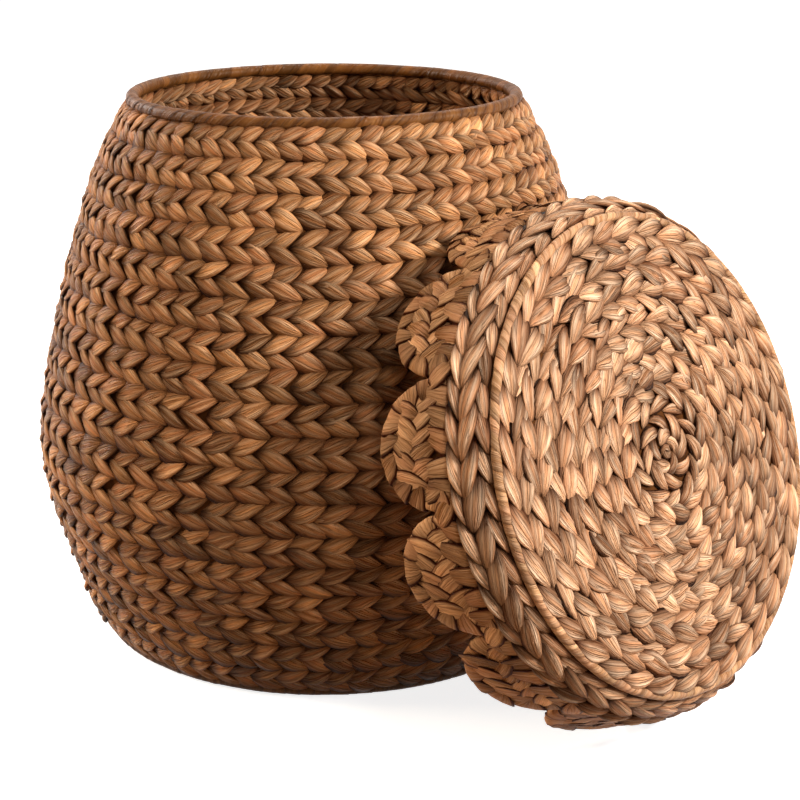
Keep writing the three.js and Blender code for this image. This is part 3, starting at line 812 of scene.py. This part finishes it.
# A fold's stations from its front tip over the wire to its back tip: U, the angle round the
# wire in degrees, and the shares of its inward reach, height and width
foldStations = np.array([0, 0.05, 0.16, 0.28, 0.37, 0.43, 0.5, 0.57, 0.63, 0.72, 0.84, 0.95, 1])
foldTurn = np.radians([90, 90, 90, 90, 118, 148, 180, 212, 242, 270, 270, 270, 270])
foldReach = np.array([1, 0.93, 0.6, 0.25, 0, 0, 0, 0, 0, 0.25, 0.6, 0.93, 1])
foldHeight = np.array([1, 1.1, 1.2, 1.15, 1, 1, 1, 1, 1, 1.15, 1.2, 1.1, 1])
foldWidth = np.array([0, 0.3, 0.62, 0.86, 1, 1, 1, 1, 1, 0.86, 0.62, 0.3, 0])
edgeFold = {"wire": 2.1, "halfThick": 0.7, "skew": 5.5, "lean": 0.0, "taper": 1.0, "roll": 0.07,
            "bend": 0.5 / loopRadius, "swell": (-0.1, 0.2), "endThick": 0.4, "rollSpread": 0.6}
topFold = dict(edgeFold, lean=4.0, taper=0.5, bend=0.0)


# Leaves folded over a wire, one behind the other along it. A fold's cross line starts
# on the front at a distance deep inside the wire, turns round it and ends on the back.
# A point at a distance w along the wire is moved inward by bend w^2, which rounds the edge
def foldedLeaves(at, inward, deep, halfWidth, look, random):
    count = len(at)
    up = np.sin(foldTurn)
    across = look["wire"] * np.cos(foldTurn)[None, :] + deep[:, None] * foldReach[None, :]
    swell = 1 + random.uniform(*look["swell"], (count, 1))
    above = look["wire"] * (up * foldHeight)[None, :] * swell
    skew = random.uniform(-1, 1, (count, 1)) * look["skew"] + look["lean"]
    along = np.stack([inward[:, 1], -inward[:, 0]], -1)
    flat = (at[:, None, :] + inward[:, None, :] * across[..., None]
            + along[:, None, :] * (skew * across / np.maximum(deep[:, None], 1))[..., None])
    centre = np.concatenate([flat, above[..., None]], -1)
    face = np.concatenate([inward[:, None, :] * np.cos(foldTurn)[None, :, None],
                           np.broadcast_to(up[None, :, None], (count, len(up), 1))], -1)
    side, face = framed(centre, face)
    full = foldWidth ** look["taper"]
    wide = halfWidth[:, None] * full[None, :]
    thin = look["endThick"]
    thick = look["halfThick"] * (thin + (1 - thin) * full[None, :]) * np.ones((count, 1))
    roll = random.uniform(-look["rollSpread"], look["rollSpread"], (count, 1, 1))
    side, face = rolled(side, face, look["roll"] * (1 + roll))
    points = sweep(centre, side, face, wide, thick, ribbonSection)
    aside = np.sum((points[..., :2] - at[:, None, :]) * along[:, None, :], -1)
    points[..., :2] += inward[:, None, :] * (look["bend"] * aside ** 2)[..., None]
    return points, random.uniform(0, 1, (count, 3))


# Each panel face has two rows of flat leaves, the second lower and over the first, and one
# leaf over the neck to the next scallop
flatStations = np.array([0, 0.04, 0.14, 0.3, 0.5, 0.7, 0.86, 0.96, 1])
flatLeaf = {"length": (28, 36), "halfWidth": (7.0, 9.0), "halfThick": 0.9, "dip": 2.0,
            "roll": (0.05, 0.17), "slope": 0.55, "arch": 0.006}
# How far single flat leaves differ: aside as a share of their spacing, drop and level in mm,
# slope in radians
flatSpread = {"aside": 0.15, "drop": 1.5, "slope": 0.25, "level": 0.4}
flatRows = (
    {"level": 2.2, "depth": 24, "spread": 33, "count": 6, "lean": 1},
    {"level": 2.6, "depth": 37, "spread": 27, "count": 5, "lean": -1},
)
neckLeaf = {"aside": 2.5, "depth": 9.0, "heading": (-60, -40), "length": 28.0, "halfWidth": 8.0,
            "halfThick": 1.0, "level": 3.6, "dip": 2.4}


# Flat leaves that lie on a panel at a level: h = level - dip |2u - 1|^2.5
def flatLeaves(middle, heading, length, halfWidth, halfThick, level, dip, random):
    u = flatStations[None, :]
    along = np.stack([np.cos(heading), np.sin(heading)], -1)
    flat = middle[:, None, :] + (u - 0.5)[..., None] * length[:, None, None] * along[:, None, :]
    h = level[:, None] - dip * np.abs(2 * u - 1) ** 2.5
    centre = np.concatenate([flat, h[..., None]], -1)
    side, face = framed(centre, np.array([0, 0, 1.0]))
    each = (len(middle), 1, 1)
    roll = random.uniform(*flatLeaf["roll"], each) * np.sign(random.uniform(-1, 1, each))
    side, face = rolled(side, face, roll)
    full = fullness(u, 1.0, 0.65)
    points = sweep(centre, side, face, halfWidth[:, None] * full, halfThick * full ** 0.6 + 0 * h,
                   ribbonSection)
    return points, random.uniform(0, 1, (len(middle), 3))


# Sideways places of a row of leaves: (i - (count - 1) / 2 + jitter) 2 half / count
def spreadOut(count, half, jitter, random):
    shift = random.uniform(-jitter, jitter, count)
    return (np.arange(count) - (count - 1) / 2 + shift) * 2 * half / count


# The leaves folded over a scallop's wire loop
def scallopEdge(place, random):
    share = random.uniform(*scallops["foldShare"], scallops["folds"])
    share *= loopLength / share.sum()
    at, inward = onLoop(np.cumsum(share) - share / 2)
    deep = random.uniform(*scallops["foldDeep"], scallops["folds"])
    points, mood = foldedLeaves(at, inward, deep, share * scallops["foldLap"], edgeFold, random)
    return ribbonPart(place(points), foldStations, mood)


# The leaves folded over the lower hoop, at the top of a panel
def scallopTop(place, random):
    count = scallops["tops"]
    x = spreadOut(count, loopRadius - scallops["topInset"], scallops["topAside"], random)
    at = np.stack([x, np.full(count, -scallops["start"] - scallops["topDrop"])], -1)
    inward = np.tile(np.array([0, -1.0]), (count, 1))
    deep = random.uniform(*scallops["topDeep"], count)
    halfWidth = random.uniform(*scallops["topHalfWidth"], count)
    points, mood = foldedLeaves(at, inward, deep, halfWidth, topFold, random)
    return ribbonPart(place(points), foldStations, mood)


# The flat leaves on one face of a panel. A row hangs lowest in its middle, at
# t = arch x^2 - depth, and the back (side -1) is the front turned half round the upright line
def panelFace(side, place, random):
    rows = []
    for row in flatRows:
        count = row["count"]
        vary = lambda key: random.uniform(-flatSpread[key], flatSpread[key], count)
        x = spreadOut(count, row["spread"], flatSpread["aside"], random)
        drop = -row["depth"] + vary("drop") + flatLeaf["arch"] * x ** 2
        slope = flatLeaf["slope"] + vary("slope")
        length = random.uniform(*flatLeaf["length"], count)
        halfWidth = random.uniform(*flatLeaf["halfWidth"], count)
        level = row["level"] + vary("level")
        rows.append(flatLeaves(
            np.stack([x, drop], -1), -math.pi / 2 + row["lean"] * slope, length, halfWidth,
            flatLeaf["halfThick"], level, flatLeaf["dip"], random))
    heading = math.radians(random.uniform(*neckLeaf["heading"]))
    rows.append(flatLeaves(
        np.array([[loopRadius + neckLeaf["aside"], -neckLeaf["depth"]]]), np.array([heading]),
        np.array([neckLeaf["length"]]), np.array([neckLeaf["halfWidth"]]), neckLeaf["halfThick"],
        np.array([neckLeaf["level"]]), neckLeaf["dip"], random))
    turned = np.array([side, 1, side])
    return [ribbonPart(place(points * turned), flatStations, mood) for points, mood in rows]


# The dark heart of a scallop, painted shade between its leaves: a thin leaf along its depth.
# Below topDepth its half width is the loop's, sqrt((loopRadius - inset)^2 - (depth - shoulder)^2)
panelHeart = {"topHalfWidth": 44.0, "topDepth": 9.5, "inset": 0.5, "halfThick": 0.35}
heartDepth = np.array([2.0, 2.4, 9, 10, 18, 26, 34, 42, 49, 53.5, 55.5, 56])
belowShoulder = np.maximum(heartDepth - shoulder, 0)
loopHalfWidth = np.sqrt(np.maximum((loopRadius - panelHeart["inset"]) ** 2 - belowShoulder ** 2, 0))
heartHalfWidth = np.where(heartDepth < panelHeart["topDepth"], panelHeart["topHalfWidth"], loopHalfWidth)


def scallopHeart(place):
    centre = np.stack([0 * heartDepth, -heartDepth, 0 * heartDepth], -1)[None]
    side, face = framed(centre, np.array([0, 0, 1.0]))
    thick = np.full((1, len(heartDepth)), panelHeart["halfThick"])
    points = sweep(centre, side, face, heartHalfWidth[None], thick, ribbonSection)
    return ribbonPart(place(points), heartDepth / heartDepth[-1], np.full((1, 3), 0.5))


for i in range(scallops["count"]):
    random = draws("scallop", i)
    place = onSkirt(i)
    piece(f"scallop_rim_{i + 1:02d}", [scallopEdge(place, random)], panelLeaf, "lid",
          [f"scallop_edge_{i + 1:02d}"])
    parts = [scallopTop(place, random)]
    for side in (1, -1):
        parts += panelFace(side, place, random)
    piece(f"scallop_weave_{i + 1:02d}", parts, panelLeaf, "lid",
          [f"scallop_panel_{i + 1:02d}"])
piece("scallop_shade_hearts", [scallopHeart(onSkirt(i)) for i in range(scallops["count"])], shadeHeart,
      "lid", [])
print("scallops folded")

# The studio's floor as it is seen and as it lights the basket, with the shadow near it
stage = {
    "floorHalf": 7.0, "floorSeen": (0.8, 0.8, 0.8, 1), "floorBounce": (0.32, 0.22, 0.14, 1),
    "shadowShare": 0.17, "shadowFrom": 0.45, "shadowTo": 0.95, "worldLight": 0.05,
}
half = stage["floorHalf"]
floorCorners = [(-half, -half, 0), (half, -half, 0), (half, half, 0), (-half, half, 0)]
floorMesh = bpy.data.meshes.new("floor")
floorMesh.from_pydata(floorCorners, [], [(0, 1, 2, 3)])
floorObj = bpy.data.objects.new("floor", floorMesh)
bpy.context.scene.collection.objects.link(floorObj)


# The share of camera, glossy and transmission rays, for which the studio is white
def seenStraight(tree):
    path = tree.nodes.new("ShaderNodeLightPath")
    seen = reckon(tree, "MAXIMUM", path.outputs["Is Camera Ray"], path.outputs["Is Glossy Ray"])
    return reckon(tree, "MAXIMUM", seen, path.outputs["Is Transmission Ray"])


# The floor glows white to the camera, less near the object, where it shows the shadow
floorMaterial = bpy.data.materials.new("floor")
floorMaterial.use_nodes = True
tree = floorMaterial.node_tree
shader = tree.nodes["Principled BSDF"]
shader.inputs["Roughness"].default_value = 1.0
shader.inputs["Specular IOR Level"].default_value = 0.0
shader.inputs["Emission Color"].default_value = (1, 1, 1, 1)
place = tree.nodes.new("ShaderNodeTexCoord")
distance = tree.nodes.new("ShaderNodeVectorMath")
distance.operation = "LENGTH"
link(tree, place.outputs["Object"], distance.inputs[0])
glow = ranged(tree, distance.outputs["Value"], stage["shadowFrom"], stage["shadowTo"],
              1 - stage["shadowShare"], 1.0)
seen = seenStraight(tree)
link(tree, reckon(tree, "MULTIPLY", glow, seen), shader.inputs["Emission Strength"])
link(tree, mixed(tree, "MIX", seen, stage["floorBounce"], stage["floorSeen"]),
     shader.inputs["Base Color"])
floorMesh.materials.append(floorMaterial)

world = bpy.data.worlds.new("studio")
bpy.context.scene.world = world
world.use_nodes = True
tree = world.node_tree
link(tree, ranged(tree, seenStraight(tree), 0.0, 1.0, stage["worldLight"], 1.0),
     tree.nodes["Background"].inputs["Strength"])
tree.nodes["Background"].inputs["Color"].default_value = (1, 1, 1, 1)

# Lamps round the basket, all at one distance: azimuth to the right of the front and
# elevation in degrees, size in metres and power in watts. One small lamp is near the rim
lamps = {
    "key": {"azimuth": 66, "elevation": 31, "size": (0.6, 0.5), "power": 91},
    "back": {"azimuth": 180, "elevation": 60, "size": (0.7, 0.7), "power": 26},
    "left": {"azimuth": -85, "elevation": 30, "size": (0.9, 0.9), "power": 46, "color": (1, 0.84, 0.64)},
    "edge": {"azimuth": -125, "elevation": 22, "size": (0.7, 1.0), "power": 36},
}
lampDistance = 2.5
lampMiddle = (0.05, -0.05, 0.2)
nearLamp = {"place": (0.24, -0.68, 0.9), "target": (0.1, -0.24, 0.36), "size": (0.2, 0.2),
            "power": 2.2}


# A soft rectangular lamp that looks at a target, white unless it has a colour
def lamp(name, place, target, look):
    data = bpy.data.lights.new(name, "AREA")
    data.shape = "RECTANGLE"
    data.size, data.size_y = look["size"]
    data.energy = look["power"]
    data.color = look.get("color", (1, 1, 1))
    obj = bpy.data.objects.new(name, data)
    bpy.context.scene.collection.objects.link(obj)
    aim = np.array(target, float) - np.array(place, float)
    aim /= np.linalg.norm(aim)
    yaw = math.atan2(aim[0], -aim[1])
    obj.location = place
    obj.rotation_euler = (math.acos(-aim[2]), 0, yaw + math.pi)


for name, look in lamps.items():
    a, e = math.radians(look["azimuth"]), math.radians(look["elevation"])
    spot = (lampDistance * math.sin(a) * math.cos(e), -lampDistance * math.cos(a) * math.cos(e),
            lampDistance * math.sin(e) + lampMiddle[2])
    lamp(name, spot, lampMiddle, look)
lamp("near", nearLamp["place"], nearLamp["target"], nearLamp)

# The photograph's camera, fitted to the mouth, base and lid: metres, and radians that it
# looks down and left
view = {"lens": 82.36, "sensor": 36, "place": (0.0858, -1.4298, 0.6296), "down": 0.3073, "left": 0.019}
cameraData = bpy.data.cameras.new("camera")
cameraData.lens = view["lens"]
cameraData.sensor_width = view["sensor"]
camera = bpy.data.objects.new("camera", cameraData)
bpy.context.scene.collection.objects.link(camera)
camera.location = view["place"]
camera.rotation_euler = (math.pi / 2 - view["down"], 0, view["left"])
bpy.context.scene.camera = camera
bpy.context.scene.view_settings.view_transform = "Standard"
print("studio lit")
